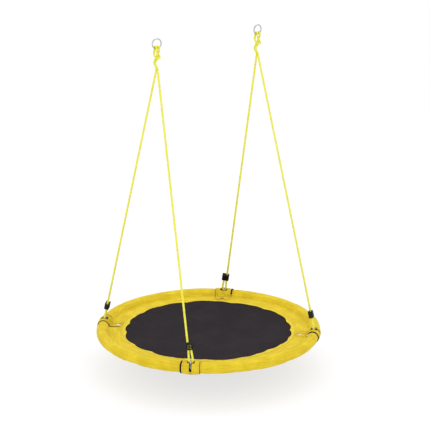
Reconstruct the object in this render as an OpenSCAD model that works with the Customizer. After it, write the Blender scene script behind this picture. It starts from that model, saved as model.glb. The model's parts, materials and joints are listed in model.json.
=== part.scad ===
// Hanging nest swing: a padded steel ring with a stretched mat, hung from two
// steel rings by four ropes. Millimetres, +Z up, X along the beam it hangs from.
// The origin is midway between the two hook seats, which are the highest points
// inside the two hanging rings.

/* [Seat] */
// Outer diameter of the padded rim
seat_d = 1100; // [900:10:1400]
// Thickness of the padded rim
rim_d = 52; // [50:1:64]
// Diameter of the black mat inside its hem
mat_d = 824; // [700:2:860]
// Thickness of the mat fabric
mat_t = 1.4; // [1:0.1:2]
// How far the mat and the yellow band lie below the tube's centre
mat_sink = 4; // [0:0.5:8]
// Width of the hem tape over the edge of the mat
hem_w = 12; // [8:1:16]

/* [Hanging] */
// Height from the hook seats down to the centre of the rim tube
drop = 1485; // [1200:5:1900]
// Distance between the two hanging rings
ring_spacing = 587; // [400:1:800]
// Height of the knot at each ring, from the ring's lowest wire to where the ropes part
knot_h = 101; // [90:1:130]

/* [Hanging rings] */
// Clear diameter inside a hanging ring
ring_inner_d = 40; // [36:1:50]
// Wire diameter of a hanging ring
ring_wire = 6; // [5:0.5:7]
// How far each hanging ring is turned about the vertical
ring_yaw = 6; // [0:1:8]

/* [Rope] */
// Diameter of the ropes
rope_d = 10; // [8:0.5:10.5]
// Diameter of the rope where it is pulled tight in the hitch
hitch_rope_d = 9; // [7:0.5:9.5]
// Bend radius of the rope through the lug, on its centre line
bend_r = 9.5; // [8.5:0.5:11]

/* [Adjusters] */
// Width of an adjuster across its two rope holes
adjuster_w = 36; // [34:1:44]
// Thickness of an adjuster
adjuster_t = 24; // [22:1:30]
// Height of an adjuster
adjuster_h = 37; // [36:1:48]
// Distance of an adjuster above the rope's bend in the lug
adjuster_up = 59; // [48:1:70]
// Distance between the centres of an adjuster's two rope holes
strand_gap = 13; // [12.5:0.5:16]

/* [Frame] */
// Outer diameter of the frame tube
tube_d = 25; // [20:0.5:28]
// Wall of the frame tube
tube_wall = 1.5; // [1.2:0.1:2.5]
// Wall of the coupling sleeves
coupling_wall = 2; // [1.5:0.1:3]
// Angle that a coupling covers, each way from its lug
coupling_half = 6; // [5:0.25:7]
// Thickness of the lug plate
lug_t = 5; // [4:0.5:6]
// Width of the lug plate
lug_w = 24; // [22:1:26]
// Diameter of the eye in the lug
eye_d = 15; // [13.5:0.5:15.5]
// Height of the eye's centre above the coupling sleeve
eye_up = 9.5; // [9:0.5:14]
// Diameter of the coupling bolts
bolt_d = 6; // [5:1:8]
// Angle from the lug to each coupling bolt
bolt_angle = 4; // [3.5:0.25:4.5]

/* [Covers] */
// Thickness of the rim cover fabric
cover_t = 1.2; // [1:0.1:2]
// Thickness of the padded wrap at each joint
wrap_t = 3; // [2:0.5:3]
// Width of the wrap at each joint, along the rim
wrap_w = 88; // [70:1:110]
// Width of the black edge binding
binding_w = 5; // [4:0.5:7]
// Width of the slit that runs down the outer side of the wrap from the lug
slit_w = 10; // [9:0.5:14]
// How far the slit runs below the tube's centre on the outer side of the wrap
slit_down = 10; // [0:1:12]

/* [Hidden] */
POSITIONS = ["front_left", "back_left", "back_right", "front_right"];
SIDES = ["left", "back", "right", "front"];

// Clearances
running_gap = 0.5;
fabric_gap = 0.3;
tube_gap = 0.2;
face_gap = 0.1;
rope_joint_gap = 1;

// Radii about the seat's centre, and about the tube's centre line
rim_r = (seat_d - rim_d) / 2;
mat_r = mat_d / 2;
band_inner_r = mat_r + hem_w;
tube_r = tube_d / 2;
sleeve_bore_r = tube_r + tube_gap;
sleeve_r = sleeve_bore_r + coupling_wall;
lug_rise = sleeve_r + eye_up;
cover_r = rim_d / 2;
foam_r = cover_r - cover_t - fabric_gap;
closure_t = 0.5;
trim_w = 2;
wrap_bore_r = cover_r + face_gap + closure_t + face_gap;
wrap_r = wrap_bore_r + wrap_t;
binding_r = wrap_r + 0.6;

// Coupling bolts
bolt_hole_d = bolt_d + 0.4;
bolt_head_d = bolt_d * 1.7;
bolt_head_h = bolt_d * 0.65;
nut_h = bolt_d * 0.8;
nut_corner_d = bolt_d * 1.92;
pocket_r = sleeve_r + face_gap + nut_h + 1;

// Angles along the rim that match a length on it
function rim_angle(length) = length / rim_r * 180 / PI;
pocket_half = coupling_half + rim_angle(3);
rope_slot_half = bend_r + rope_d / 2 + 3;
lug_slot_half = lug_w / 2 + trim_w + 1;
foam_end = rim_angle(rope_slot_half);
cover_end = rim_angle(20);
wrap_half = rim_angle(wrap_w / 2);
binding_half = wrap_half + rim_angle(binding_w);

// See-through gap between two neighbouring covers, beside the rim
gap_inner_r = band_inner_r + 13;
flap_inner_r = gap_inner_r + 25;
flap_z = -mat_sink + cover_t + face_gap;

// Hanging rings
ring_r = (ring_inner_d + ring_wire) / 2;
ring_z = -ring_inner_d / 2;
wire_z = ring_z - ring_r;

// Hitch: two strands over the wire, a bight round both legs, then the kinked pair
leg_split = rope_d + 1.4;
hitch_side = 7;
hitch_half = ring_wire / 2 + hitch_rope_d / 2 + 2;
hitch_crown = hitch_half + 1.5;

// The rest of a rope: its bend in the lug and its two strands. Everything here is
// worked out for the front left lug, and mirrored to the other three.
FRONT_LEFT = 225;
tangent = [-sin(FRONT_LEFT), cos(FRONT_LEFT), 0];
eye_rest = rope_d / 2 - eye_d / 2;
lug_point = [rim_r * cos(FRONT_LEFT), rim_r * sin(FRONT_LEFT), -drop + lug_rise - eye_rest - 1.6];
leg_top = [-ring_spacing / 2, -leg_split / 2, wire_z - knot_h];
function unit(v) = v / norm(v);
function square_to(v, axis) = unit(v - (v * axis) * axis);
first_axis = unit(leg_top - lug_point);
leg_foot = lug_point - strand_gap / 2 * square_to(tangent, first_axis);
leg_axis = unit(leg_top - leg_foot);
leg_side = square_to(tangent, leg_axis);
leg_face = cross(leg_axis, leg_side);
leg_length = norm(leg_top - leg_foot);
strand_x = strand_gap / 2;
spread_top = adjuster_up - 1;

// Adjuster details
hole_d = rope_d + 2 * running_gap;
notch_w = hole_d;
notch_h = 9;
corner_r = 7;
window_w = strand_gap + rope_d - 2;
window_slots = 3;
slot_h = 4.2;
slot_pitch = 7;
end_h = adjuster_h - notch_h - 3;

// Moves children from the front left corner of the seat to any of the four
module at_corner(position) {
    flip_x = (position == "back_right" || position == "front_right") ? 1 : 0;
    flip_y = (position == "back_left" || position == "back_right") ? 1 : 0;
    mirror([flip_x, 0, 0]) mirror([0, flip_y, 0]) children();
}

// Turns children from the left quarter of the rim to any of the four
module at_side(side) {
    turn = side == "left" ? 0 : side == "back" ? -90 : side == "right" ? 180 : 90;
    rotate([0, 0, turn]) children();
}

// The frame of a leg: +Z up the rope, +X from the leg to the returning strand
module along_leg() {
    multmatrix([
        [leg_side.x, leg_face.x, leg_axis.x, leg_foot.x + strand_x * leg_side.x],
        [leg_side.y, leg_face.y, leg_axis.y, leg_foot.y + strand_x * leg_side.y],
        [leg_side.z, leg_face.z, leg_axis.z, leg_foot.z + strand_x * leg_side.z],
        [0, 0, 0, 1]]) children();
}

// The frame of a joint: +X outwards, +Y along the rim, origin on the tube's centre
module at_joint() {
    rotate([0, 0, FRONT_LEFT]) translate([rim_r, 0, -drop]) children();
}

// A stretch of the rim, with its cross-section in the XY plane about the tube's centre
module rim_sweep(from, to) {
    translate([0, 0, -drop]) rotate([0, 0, from])
        rotate_extrude(angle = to - from, $fn = 180) translate([rim_r, 0]) children();
}

module disc(r) { circle(r = r, $fn = 72); }

module round_rect(w, h, r) {
    square([w - 2 * r, h], center = true);
    square([w, h - 2 * r], center = true);
    for (x = [-1, 1], y = [-1, 1])
        translate([x * (w / 2 - r), y * (h / 2 - r)]) circle(r = r, $fn = 48);
}

// A straight cylinder between two points of the XZ plane
module rod(from, to, d) {
    run = [to.x - from.x, to.y - from.y];
    translate([from.x, 0, from.y]) rotate([0, atan2(run.x, run.y), 0])
        cylinder(d = d, h = norm(run), $fn = 48);
}

// A rope swept along points: a smooth curve, rings square to it, 10 sides
SIDES_OF_ROPE = 10;
STEPS = 4;
function curve(p, a, b, c, t) = 0.5 * (2 * a + (b - p) * t
    + (2 * p - 5 * a + 4 * b - c) * t * t + (3 * a - p - 3 * b + c) * t * t * t);
function smooth(pts) = let (n = len(pts)) concat(
    [for (i = [0 : n - 2], k = [0 : STEPS - 1])
        curve(pts[max(i - 1, 0)], pts[i], pts[i + 1], pts[min(i + 2, n - 1)], k / STEPS)],
    [pts[n - 1]]);
function tangents(pts) = let (n = len(pts))
    [for (i = [0 : n - 1]) unit(pts[min(i + 1, n - 1)] - pts[max(i - 1, 0)])];
function normals(t) = [for (i = 0, v = square_to([1, 0, 0], t[0]); i < len(t);
    i = i + 1, v = i < len(t) ? square_to(v, t[i]) : v) v];
module rope_along(pts, d) {
    path = smooth(pts);
    t = tangents(path);
    u = normals(t);
    m = SIDES_OF_ROPE;
    n = len(path);
    rings = [for (i = [0 : n - 1], k = [0 : m - 1]) let (a = 360 * k / m)
        path[i] + d / 2 * (cos(a) * u[i] + sin(a) * cross(t[i], u[i]))];
    walls = [for (i = [0 : n - 2], k = [0 : m - 1]) let (j = (k + 1) % m)
        [i * m + k, (i + 1) * m + k, (i + 1) * m + j, i * m + j]];
    ends = [[for (k = [0 : m - 1]) k], [for (k = [m - 1 : -1 : 0]) (n - 1) * m + k]];
    polyhedron(points = rings, faces = concat(walls, ends), convexity = 8);
}

module hanging_ring(side) {
    color("silver")
        translate([side * ring_spacing / 2, 0, ring_z]) rotate([0, 0, side * ring_yaw])
        rotate([90, 0, 0]) rotate_extrude($fn = 96) translate([ring_r, 0]) disc(ring_wire / 2);
}

// One length of rope, doubled through the ring: up from the front leg, over the
// wire, round both legs as a bight, over the wire again and down to the back leg
function over_wire(x, way) = let (w = way * hitch_half, c = hitch_crown)
    [[x, -w, -8], [x, -w, 2], [x, -0.7 * w, 0.75 * c], [x, 0, c],
     [x, 0.7 * w, 0.75 * c], [x, w, 2], [x, w, -8]];
function hitch_route() = let (
        down = unit(leg_foot - leg_top),
        back_down = [down.x, -down.y, down.z],
        front_end = [0, -leg_split / 2, -knot_h],
        back_end = [0, leg_split / 2, -knot_h],
        kink = 31 - knot_h)
    concat(
        [front_end, front_end - 4 * down, [-3, -4.5, kink - 16], [-9, -1, kink - 3],
         [-9, -1, kink + 8], [-3, -5, kink + 20], [0, -6, -40], [-4, -9, -24]],
        over_wire(-hitch_side, 1),
        [[-11, 8.5, -22], [-12, 0, -34], [-9.5, -11, -41], [0, -16, -43.5],
         [9.5, -11, -41], [12, 0, -34], [11, 8.5, -22]],
        over_wire(hitch_side, -1),
        [[3.5, -2, -24], [0, 4, -40], [-5, 6, kink + 19], [-9, 9.5, kink + 8],
         [-8, 9.5, kink - 3], [-2.5, 6.5, kink - 16], back_end - 4 * back_down, back_end]);

module rope_hitch(side) {
    color("yellow") translate([side * ring_spacing / 2, 0, wire_z])
        rope_along(hitch_route(), hitch_rope_d);
}

// The straight leg, which an adjuster slides on
module rope_leg(position) {
    color("yellow") at_corner(position) along_leg()
        translate([-strand_x, 0, spread_top])
            cylinder(d = rope_d, h = leg_length - spread_top - rope_joint_gap, $fn = 48);
}

// The rope below the adjuster: down to the lug and round through its eye
module rope_bend(position) {
    color("yellow") at_corner(position) along_leg()
        rope_along(concat(
            [[-strand_x, 0, spread_top - face_gap], [-strand_x - 0.2, 0, spread_top - 5],
             [-bend_r + 0.6, 0, 1.8 * bend_r]],
            [for (a = [180 : 30 : 360]) [bend_r * cos(a), 0, bend_r + bend_r * sin(a)]]),
            rope_d);
}

// The strand that returns from the lug to the adjuster, and grows as that slides up
module rope_tail(position) {
    color("yellow") at_corner(position) along_leg()
        rod([bend_r, bend_r + rope_joint_gap], [strand_x, spread_top], rope_d);
}

// The end of the rope, held inside the adjuster
module rope_end(position) {
    color("yellow") at_corner(position) along_leg()
        translate([strand_x, 0, adjuster_up])
            cylinder(d = rope_d, h = end_h, $fn = 48);
}

module adjuster(position) {
    color([0.08, 0.08, 0.09]) at_corner(position) along_leg()
        translate([0, 0, adjuster_up + adjuster_h / 2]) difference() {
            intersection() {
                rotate([90, 0, 0]) linear_extrude(adjuster_t, center = true)
                    round_rect(adjuster_w, adjuster_h, corner_r);
                rotate([90, 0, 90]) linear_extrude(adjuster_w, center = true)
                    round_rect(adjuster_t, adjuster_h, corner_r);
                linear_extrude(adjuster_h, center = true)
                    round_rect(adjuster_w, adjuster_t, corner_r);
            }
            for (x = [-strand_x, strand_x])
                translate([x, 0, -adjuster_h / 2 - 1])
                    cylinder(d = hole_d, h = adjuster_h + 2, $fn = 48);
            translate([0, 0, adjuster_h / 2 - notch_h / 2 + 1])
                cube([adjuster_w + 2, notch_w, notch_h + 2], center = true);
            for (k = [0 : window_slots - 1])
                translate([0, 0, (k - (window_slots - 1) / 2) * slot_pitch - notch_h / 2 + 1])
                    cube([window_w, adjuster_t + 2, slot_h], center = true);
        }
}

// Sleeve over the two tube ends, with the lug welded upright on top of it
module tube_coupling(position) {
    color("silver") at_corner(position) difference() {
        union() {
            rim_sweep(FRONT_LEFT - coupling_half, FRONT_LEFT + coupling_half) disc(sleeve_r);
            at_joint() rotate([90, 0, 0]) linear_extrude(lug_t, center = true) {
                translate([-lug_w / 2, tube_r / 2]) square([lug_w, lug_rise - tube_r / 2]);
                translate([0, lug_rise]) circle(d = lug_w, $fn = 64);
            }
        }
        rim_sweep(FRONT_LEFT - coupling_half - 1, FRONT_LEFT + coupling_half + 1)
            disc(sleeve_bore_r);
        at_joint() translate([0, 0, lug_rise]) rotate([90, 0, 0])
            cylinder(d = eye_d, h = lug_t + 2, center = true, $fn = 64);
        at_bolts() cylinder(d = bolt_hole_d, h = 3 * sleeve_r, center = true, $fn = 32);
    }
}

// Bolt places of the front left coupling: +Z outwards through the tube
module at_bolts() {
    for (side = [-1, 1])
        translate([0, 0, -drop]) rotate([0, 0, FRONT_LEFT + side * bolt_angle])
            translate([rim_r, 0, 0]) rotate([0, 90, 0]) children();
}

module coupling_bolts() {
    color("dimgray") for (position = POSITIONS) at_corner(position) at_bolts() {
        translate([0, 0, -sleeve_r - nut_h - 1])
            cylinder(d = bolt_d, h = 2 * sleeve_r + nut_h + 2, $fn = 32);
        translate([0, 0, sleeve_r + face_gap]) cylinder(d = bolt_head_d, h = bolt_head_h, $fn = 48);
    }
}

module coupling_nuts() {
    color("dimgray") for (position = POSITIONS) at_corner(position) at_bolts()
        translate([0, 0, -sleeve_r - face_gap - nut_h]) difference() {
            cylinder(d = nut_corner_d, h = nut_h, $fn = 6);
            translate([0, 0, -1]) cylinder(d = bolt_d + face_gap, h = nut_h + 2, $fn = 32);
        }
}

// A quarter of the rim runs from the front left joint to the back left one
QUARTER_FROM = 135;
QUARTER_TO = 225;

module frame_tube(side) {
    end = rim_angle(tube_gap);
    color("silver") at_side(side) difference() {
        rim_sweep(QUARTER_FROM + end, QUARTER_TO - end) disc(tube_r);
        rim_sweep(QUARTER_FROM - 1, QUARTER_TO + 1) disc(tube_r - tube_wall);
        for (a = [QUARTER_FROM + bolt_angle, QUARTER_TO - bolt_angle])
            translate([0, 0, -drop]) rotate([0, 0, a]) translate([rim_r, 0, 0]) rotate([0, 90, 0])
                cylinder(d = bolt_hole_d, h = 3 * tube_r, center = true, $fn = 32);
    }
}

module foam_sleeve(side) {
    color("whitesmoke") at_side(side) difference() {
        rim_sweep(QUARTER_FROM + foam_end, QUARTER_TO - foam_end) disc(foam_r);
        rim_sweep(QUARTER_FROM, QUARTER_TO) disc(tube_r + fabric_gap);
        rim_sweep(QUARTER_FROM, QUARTER_FROM + pocket_half) disc(pocket_r);
        rim_sweep(QUARTER_TO - pocket_half, QUARTER_TO) disc(pocket_r);
    }
}

// Fabric tunnel over the foam, with the flat band that carries the mat
module rim_cover(side) {
    tunnel = cover_r - cover_t / 2;
    color("gold") at_side(side) difference() {
        union() {
            rim_sweep(QUARTER_FROM + cover_end, QUARTER_TO - cover_end) difference() {
                disc(cover_r);
                disc(cover_r - cover_t);
            }
            end = rim_angle(face_gap);
            rim_sweep(QUARTER_FROM + end, QUARTER_TO - end)
                translate([band_inner_r - rim_r, -mat_sink])
                square([rim_r - band_inner_r - sqrt(tunnel * tunnel - mat_sink * mat_sink), cover_t]);
        }
        for (a = [QUARTER_FROM, QUARTER_TO])
            translate([0, 0, -drop - mat_sink - 1]) rotate([0, 0, a]) linear_extrude(cover_t + 2)
                polygon([[gap_inner_r, 0], [rim_r, -40], [rim_r, 40]]);
    }
}

// Where the wrap is open for the lug and the rope, and slit down its outer side, with
// its edges moved in by an inset. In the joint's frame.
module slit(inset) {
    translate([inset - lug_slot_half, inset - rope_slot_half, 0])
        cube([2 * (lug_slot_half - inset), 2 * (rope_slot_half - inset), 2 * wrap_r]);
    translate([0, inset - slit_w / 2, inset - slit_down])
        cube([2 * wrap_r, slit_w - 2 * inset, 2 * wrap_r]);
}

// The wrap is open towards the mat, where the covers' flat band comes out of it
module wrap_shell(half, r) {
    rim_sweep(FRONT_LEFT - half, FRONT_LEFT + half) difference() {
        disc(r);
        disc(wrap_bore_r);
        translate([-2 * wrap_r, -mat_sink - face_gap])
            square([2 * wrap_r, cover_t + 2 * face_gap]);
    }
}

// Padded sleeve round the rim over a coupling, with a flap towards the mat
module joint_wrap(position) {
    color("gold") at_corner(position) difference() {
        union() {
            wrap_shell(wrap_half, wrap_r);
            rim_sweep(FRONT_LEFT - wrap_half, FRONT_LEFT + wrap_half)
                translate([flap_inner_r - rim_r, flap_z])
                square([rim_r - flap_inner_r - wrap_bore_r - wrap_t / 2, cover_t]);
        }
        at_joint() slit(0);
    }
}

module wrap_binding(position) {
    color([0.05, 0.05, 0.05]) at_corner(position) {
        difference() {
            wrap_shell(binding_half, binding_r);
            rim_sweep(FRONT_LEFT - wrap_half, FRONT_LEFT + wrap_half) disc(2 * wrap_r);
        }
        intersection() {
            wrap_shell(wrap_half, wrap_r);
            at_joint() difference() {
                slit(0);
                slit(trim_w);
            }
        }
    }
}

// Hook-and-loop strip under the wrap, on the underside of the rim
module wrap_closure(position) {
    color([0.1, 0.1, 0.1]) at_corner(position)
        rim_sweep(FRONT_LEFT - wrap_half * 0.8, FRONT_LEFT + wrap_half * 0.8) intersection() {
            difference() {
                disc(cover_r + face_gap + closure_t);
                disc(cover_r + face_gap);
            }
            translate([-lug_w / 2, -2 * cover_r]) square([lug_w, 2 * cover_r]);
        }
}

module seat_mat() {
    color([0.2, 0.19, 0.2]) translate([0, 0, -drop - mat_sink - face_gap - mat_t])
        cylinder(r = band_inner_r + 8, h = mat_t, $fn = 180);
}

module mat_hem() {
    color("khaki") translate([0, 0, -drop - mat_sink]) difference() {
        cylinder(r = band_inner_r - face_gap, h = cover_t, $fn = 180);
        translate([0, 0, -1]) cylinder(r = mat_r, h = cover_t + 2, $fn = 180);
    }
}

hanging_ring(-1);  // hanging_ring_left
hanging_ring(1);  // hanging_ring_right
rope_hitch(-1);  // rope_hitch_left
rope_hitch(1);  // rope_hitch_right
for (p = POSITIONS) {
    rope_leg(p);
    rope_bend(p);
    rope_tail(p);
    rope_end(p);
    adjuster(p);
    tube_coupling(p);
    joint_wrap(p);
    wrap_binding(p);
    wrap_closure(p);
}
coupling_bolts();
coupling_nuts();
for (s = SIDES) {
    frame_tube(s);
    foam_sleeve(s);
    rim_cover(s);
}
seat_mat();
mat_hem();
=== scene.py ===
# %% [markdown]
# # A hanging nest swing
# A round padded seat hangs from two steel rings on four braided ropes. The engineering
# model gives every steel and plastic part, and the space that each soft part fills. This
# script gives the soft parts their real shapes and every surface its finish.
#
# It reads top to bottom. The camera and the ropes come first, then the hardware, then the
# sewn parts from the rim inwards, and last the light.

# %% Load the frame
import json
import math
from contextlib import contextmanager

import bmesh
import bpy
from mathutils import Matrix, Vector, noise

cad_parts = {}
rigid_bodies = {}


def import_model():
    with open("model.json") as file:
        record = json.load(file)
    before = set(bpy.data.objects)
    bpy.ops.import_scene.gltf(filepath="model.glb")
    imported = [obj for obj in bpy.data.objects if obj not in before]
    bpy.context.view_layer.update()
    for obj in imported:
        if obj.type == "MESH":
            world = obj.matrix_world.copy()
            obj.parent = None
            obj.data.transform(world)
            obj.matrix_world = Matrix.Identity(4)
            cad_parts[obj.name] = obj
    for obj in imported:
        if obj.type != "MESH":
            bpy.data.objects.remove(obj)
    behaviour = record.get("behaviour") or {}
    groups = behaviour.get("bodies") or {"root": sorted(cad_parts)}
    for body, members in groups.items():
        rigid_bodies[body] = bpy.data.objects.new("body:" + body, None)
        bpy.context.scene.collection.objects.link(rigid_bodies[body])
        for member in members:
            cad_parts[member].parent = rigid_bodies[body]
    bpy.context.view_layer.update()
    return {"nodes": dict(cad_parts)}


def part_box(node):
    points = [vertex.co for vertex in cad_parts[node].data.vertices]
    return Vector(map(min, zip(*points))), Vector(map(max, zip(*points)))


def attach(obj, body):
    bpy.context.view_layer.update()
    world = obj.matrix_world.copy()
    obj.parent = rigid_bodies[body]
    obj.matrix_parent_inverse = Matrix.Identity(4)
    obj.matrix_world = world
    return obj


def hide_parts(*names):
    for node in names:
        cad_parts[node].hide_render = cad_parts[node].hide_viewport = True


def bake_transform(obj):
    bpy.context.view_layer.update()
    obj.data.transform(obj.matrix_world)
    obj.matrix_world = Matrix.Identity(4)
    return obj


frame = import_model()
POSITIONS = ("front_left", "back_left", "back_right", "front_right")
SIDES = ("left", "back", "right", "front")

# %% [markdown]
# ## Sizes
# The sizes that the soft parts share with the engineering model, in metres. The place and
# thickness of the rim and the height of the mat are read from their nodes' boxes. The other
# sizes are written out here as that model has them, because no box gives them. Only the
# wraps are narrower than that model's: 76 mm between their rolled edges.

# %% Sizes of the seat and of the ropes
MM = 0.001
cover_low, cover_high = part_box("rim_cover_left")
MAT_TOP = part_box("seat_mat")[1].z
RIM_Z = (cover_low.z + cover_high.z) / 2
COVER_R = (cover_high.z - cover_low.z) / 2
RIM_R = -cover_low.x - COVER_R
MAT_R = 412 * MM
BAND_IN_R = 424 * MM
GAP_IN_R = 437 * MM
FLAP_IN_R = 462 * MM
FABRIC, WRAP_FABRIC = 1.2 * MM, 1.1 * MM
BAND_Z = -3.4 * MM
WRAP_W = 76 * MM
ROPE_D = 10 * MM
HITCH_D = 9 * MM
print("rim radius", round(RIM_R, 4), "rim tube", round(COVER_R, 4), "rim height", round(RIM_Z, 4))


def on_rim(angle, out, up):
    """A point by its angle round the seat, and how far it is out and up from the tube's centre."""
    r = RIM_R + out
    return Vector((r * math.cos(angle), r * math.sin(angle), RIM_Z + up))


# %% [markdown]
# ## Camera
# The swing is seen from a little above the seat and from its front left, through a long
# lens, so the lines of the ropes hardly converge. The camera is placed by its angles and
# its distance from a point on the swing's own axis.

# %% Camera
AZIMUTH, ELEVATION = math.radians(-36.33), math.radians(16.8)
AIM = Vector((-0.001, -0.056, -0.884))
DISTANCE = 8.5
back = Vector((math.sin(AZIMUTH) * math.cos(ELEVATION),
               -math.cos(AZIMUTH) * math.cos(ELEVATION), math.sin(ELEVATION)))
camera_data = bpy.data.cameras.new("camera")
camera_data.lens, camera_data.sensor_width = 147.5, 36
camera = bpy.data.objects.new("camera", camera_data)
camera.location = AIM + DISTANCE * back
camera.rotation_euler = (-back).to_track_quat("-Z", "Y").to_euler()
bpy.context.scene.collection.objects.link(camera)
bpy.context.scene.camera = camera
print("camera at", [round(x, 3) for x in camera.location])

# %% [markdown]
# ## Writing node trees as expressions
# Node trees are easier to read as formulas. `Socket` wraps one output, and `+ - * /` on it
# add Math nodes. `Tree.node` adds any other node: its settings first, then the values or
# links of its inputs. Shader trees and geometry trees share both.


# %% Sockets and trees
class Socket:
    def __init__(self, tree, socket):
        self.tree, self.socket = tree, socket

    def math(self, operation, *values):
        return self.tree.node("ShaderNodeMath", [self, *values], operation=operation)

    def __add__(self, other):
        return self.math("ADD", other)

    def __sub__(self, other):
        return self.math("SUBTRACT", other)

    def __rsub__(self, other):
        return (self * -1) + other

    def __mul__(self, other):
        return self.math("MULTIPLY", other)

    def __truediv__(self, other):
        return self.math("DIVIDE", other)

    __radd__, __rmul__ = __add__, __mul__

    def wave(self, length):
        """A sine of this value, from -1 to 1, that repeats after a length."""
        return (self * (2 * math.pi / length)).math("SINE")

    def clamp(self, low, high):
        """0 below low, 1 above high, and smooth between them."""
        return self.tree.node("ShaderNodeMapRange", {"Value": self, "From Min": low,
                              "From Max": high}, interpolation_type="SMOOTHSTEP")


class Tree:
    def __init__(self, tree):
        self.tree = tree

    def node(self, kind, inputs=(), out=0, **settings):
        node = self.tree.nodes.new(kind)
        for key, value in settings.items():
            setattr(node, key, value)
        for key, value in (inputs.items() if isinstance(inputs, dict) else enumerate(inputs)):
            if isinstance(value, Socket):
                self.tree.links.new(value.socket, node.inputs[key])
            else:
                node.inputs[key].default_value = value
        return Socket(self, node.outputs[out])


# %% [markdown]
# ## Growing what follows a path
# A rope's strands, a row of stitches and a rolled edge all follow a line. Each is a small
# Geometry Nodes tree that turns a polyline into the finished shape, so one tree serves
# every rope or seam. `grow` feeds it the lines and keeps the result as a plain mesh.


# %% Polylines in, plain mesh out
def new_piece(name, mesh):
    piece = bpy.data.objects.new(name, mesh)
    bpy.context.scene.collection.objects.link(piece)
    return piece


@contextmanager
def edited(mesh):
    """A mesh opened for bmesh's tools, and written back afterwards."""
    shell = bmesh.new()
    shell.from_mesh(mesh)
    yield shell
    shell.to_mesh(mesh)
    shell.free()


def smooth_faces(mesh):
    for face in mesh.polygons:
        face.use_smooth = True


def thicken(piece, thickness, finer=True):
    """Gives a piece of fabric its thickness, inwards, and first rounds its grid off."""
    if finer:
        rounder = piece.modifiers.new("finer", "SUBSURF")
        rounder.levels = rounder.render_levels = 1
    wall = piece.modifiers.new("wall", "SOLIDIFY")
    wall.thickness, wall.offset = thickness, -1


def line_mesh(lines, closed=False):
    points, edges = [], []
    for line in lines:
        first = len(points)
        points += [tuple(p) for p in line]
        edges += [(i, i + 1) for i in range(first, len(points) - 1)]
        if closed:
            edges.append((len(points) - 1, first))
    mesh = bpy.data.meshes.new("path")
    mesh.from_pydata(points, edges, [])
    return mesh


class GeometryTree(Tree):
    """A geometry tree with a path input and the named inputs given as name=kind."""

    def __init__(self, name, **inputs):
        group = bpy.data.node_groups.new(name, "GeometryNodeTree")
        super().__init__(group)
        group.interface.new_socket("Path", in_out="INPUT", socket_type="NodeSocketGeometry")
        self.ids = {n: group.interface.new_socket(n, in_out="INPUT",
                    socket_type="NodeSocket" + kind).identifier for n, kind in inputs.items()}
        group.interface.new_socket("Shape", in_out="OUTPUT", socket_type="NodeSocketGeometry")
        self.source = group.nodes.new("NodeGroupInput")
        self.curve = self.node("GeometryNodeMeshToCurve", {"Mesh": self.input("Path")})

    def input(self, name):
        return Socket(self, self.source.outputs[name])

    def along(self):
        """How far along its line a point is, in metres."""
        return self.node("GeometryNodeSplineParameter", out="Length")

    def vector(self, operation, *values):
        return self.node("ShaderNodeVectorMath", values, operation=operation)

    def finish(self, shape, material):
        smooth = self.node("GeometryNodeSetShadeSmooth", [shape])
        real = self.node("GeometryNodeRealizeInstances", [smooth])
        painted = self.node("GeometryNodeSetMaterial", {"Geometry": real, "Material": material})
        sink = self.tree.nodes.new("NodeGroupOutput")
        self.tree.links.new(painted.socket, sink.inputs["Shape"])


def grow(name, tree, lines, closed=False, **values):
    """The plain mesh piece that a geometry tree makes of some lines."""
    carrier = new_piece(name + "_path", line_mesh(lines, closed))
    modifier = carrier.modifiers.new("grow", "NODES")
    modifier.node_group = tree.tree
    for key, value in values.items():
        modifier[tree.ids[key]] = value
    bpy.context.view_layer.update()
    shaped = carrier.evaluated_get(bpy.context.evaluated_depsgraph_get())
    mesh = bpy.data.meshes.new_from_object(shaped)
    bpy.data.objects.remove(carrier)
    mesh.name = name
    return new_piece(name, mesh)


# %% [markdown]
# ## Finishes
# A finish is one procedural material. It reads the object's own coordinates, or a map that
# the piece carries, so the pattern stays on the piece when the swing moves. Only base
# colour, roughness, metal and the bump vary over a surface.


# %% A finish
class Finish(Tree):
    def __init__(self, name, roughness, **constants):
        self.material = bpy.data.materials.new(name)
        self.material.use_nodes = True
        super().__init__(self.material.node_tree)
        self.shader = self.tree.nodes["Principled BSDF"]
        self.shader.inputs["Roughness"].default_value = roughness
        for key, value in constants.items():
            self.shader.inputs[key.replace("_", " ")].default_value = value
        self.place = self.node("ShaderNodeTexCoord", out="Object")

    def feed(self, **values):
        for key, value in values.items():
            self.tree.links.new(value.socket, self.shader.inputs[key.replace("_", " ")])

    def axes(self, vector):
        split = self.node("ShaderNodeSeparateXYZ", [vector])
        return [Socket(self, s) for s in split.socket.node.outputs]

    def attribute(self, name):
        return self.node("ShaderNodeAttribute", out="Fac", attribute_name=name)

    def stretched(self, vector, *scale):
        return self.node("ShaderNodeMapping", {"Vector": vector, "Scale": scale})

    def speckle(self, scale, detail=3, vector=None, rough=0.6):
        """Fractal noise, about 0.5 on average, by cells per metre."""
        return self.node("ShaderNodeTexNoise", {
            "Vector": vector or self.place, "Scale": scale, "Detail": detail,
            "Roughness": rough})

    def blend(self, mask, first, second):
        """One colour where the mask is 0 and the other where it is 1."""
        return self.node("ShaderNodeMix", {0: mask, 6: first, 7: second}, 2, data_type="RGBA")

    def mottled(self, speckle, low, high, first, second):
        """Two colours in patches: the first where the noise is below low."""
        return self.blend(speckle.clamp(low, high), colour(*first), colour(*second))

    def bump(self, height, distance, strength=1.0):
        self.feed(Normal=self.node("ShaderNodeBump", {
            "Height": height, "Distance": distance, "Strength": strength}))


def colour(red, green, blue):
    """A colour that is given as it looks on screen, as the linear one that shaders want."""
    def linear(c):
        c /= 255
        return c / 12.92 if c <= 0.04045 else ((c + 0.055) / 1.055) ** 2.4
    return (linear(red), linear(green), linear(blue), 1.0)


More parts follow.
